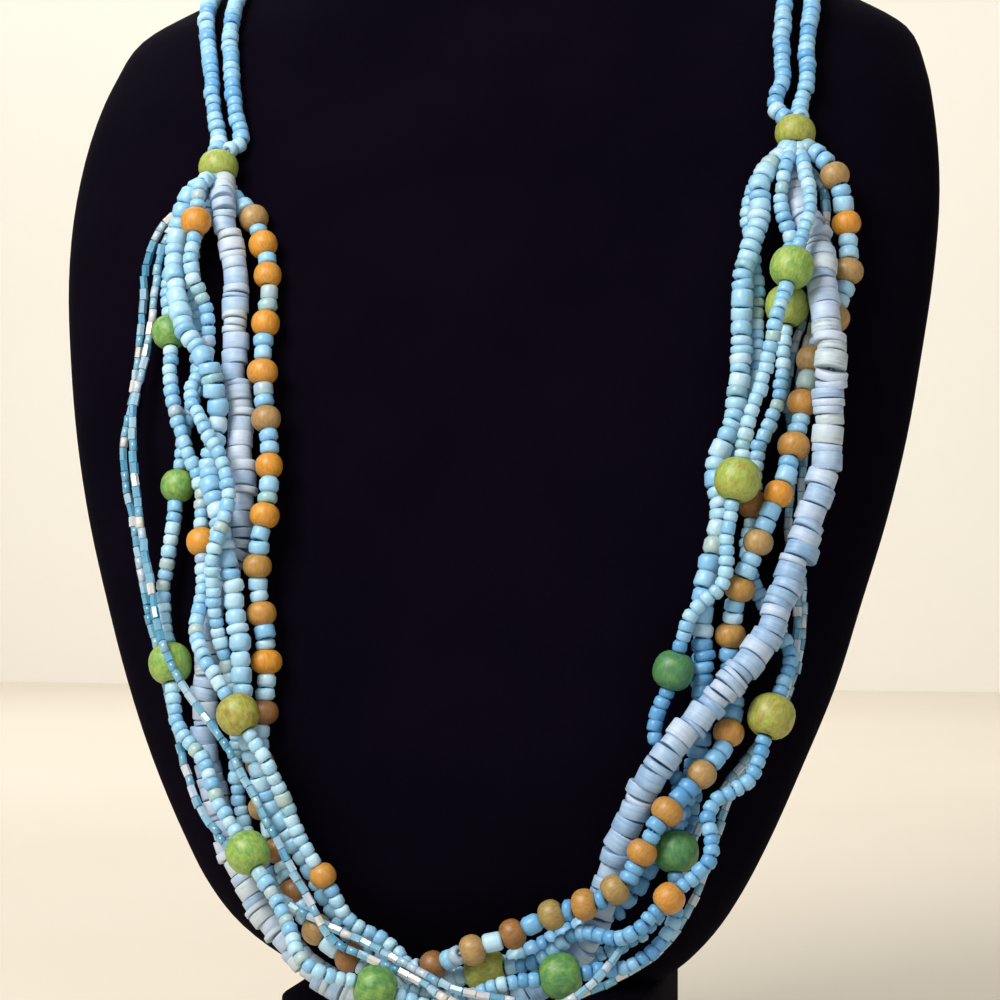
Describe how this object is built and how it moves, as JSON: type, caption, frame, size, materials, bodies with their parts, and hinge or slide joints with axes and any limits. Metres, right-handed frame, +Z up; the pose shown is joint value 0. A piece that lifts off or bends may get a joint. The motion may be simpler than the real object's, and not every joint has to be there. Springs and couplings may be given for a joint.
{
  "type": "beaded necklace on a neck bust",
  "caption": "Multi-strand seed bead, shell disc and wooden bead necklace worn by a plain velvet-covered neck bust.",
  "frame": {"origin": "middle of the underside of the bust's foot, on the surface that it stands on", "axes": "+Z up, the bust faces -Y, +X to the right of someone who looks at its chest"},
  "size_m": [0.1966, 0.1549, 0.33],
  "materials": {
    "velvet": "near-black cotton velvet, matte with a faint violet sheen",
    "pale_blue_glass": "opaque pale sky-blue seed beads, satin",
    "aqua_cut_glass": "transparent aqua cut beads with a lustre coat, glossy",
    "grey_blue_disc": "pale grey-blue shell discs, satin",
    "amber_wood": "dyed amber and tan wooden beads, satin lacquer",
    "green_wood": "mottled green dyed wooden beads, satin lacquer"
  },
  "bodies": {
    "root": {"neck_bust": "velvet", "bust_foot": "velvet", "gathering_bead_left": "green_wood", "gathering_bead_right": "green_wood", "cut_bead_string_a": "aqua_cut_glass", "cut_bead_string_b": "aqua_cut_glass", "large_seed_string": "pale_blue_glass", "third_seed_string": "pale_blue_glass", "orange_bead_third_1": "amber_wood", "green_seed_string": "pale_blue_glass", "green_bead_green_1": "green_wood", "green_bead_green_2": "green_wood", "green_bead_green_3": "green_wood", "green_bead_green_4": "green_wood", "green_bead_green_5": "green_wood", "green_bead_green_6": "green_wood", "green_bead_green_7": "green_wood", "green_bead_green_8": "green_wood", "green_bead_green_9": "green_wood", "mixed_seed_string": "pale_blue_glass", "green_bead_mixed_1": "green_wood", "orange_bead_mixed_2": "amber_wood", "green_bead_mixed_3": "green_wood", "orange_bead_mixed_4": "amber_wood", "green_bead_mixed_5": "green_wood", "orange_bead_mixed_6": "amber_wood", "green_bead_mixed_7": "green_wood", "orange_bead_mixed_8": "amber_wood", "green_bead_mixed_9": "green_wood", "disc_string": "grey_blue_disc", "wood_string": "amber_wood", "neck_string_outer": "pale_blue_glass", "neck_string_inner": "pale_blue_glass"}
  },
  "joints": []
}
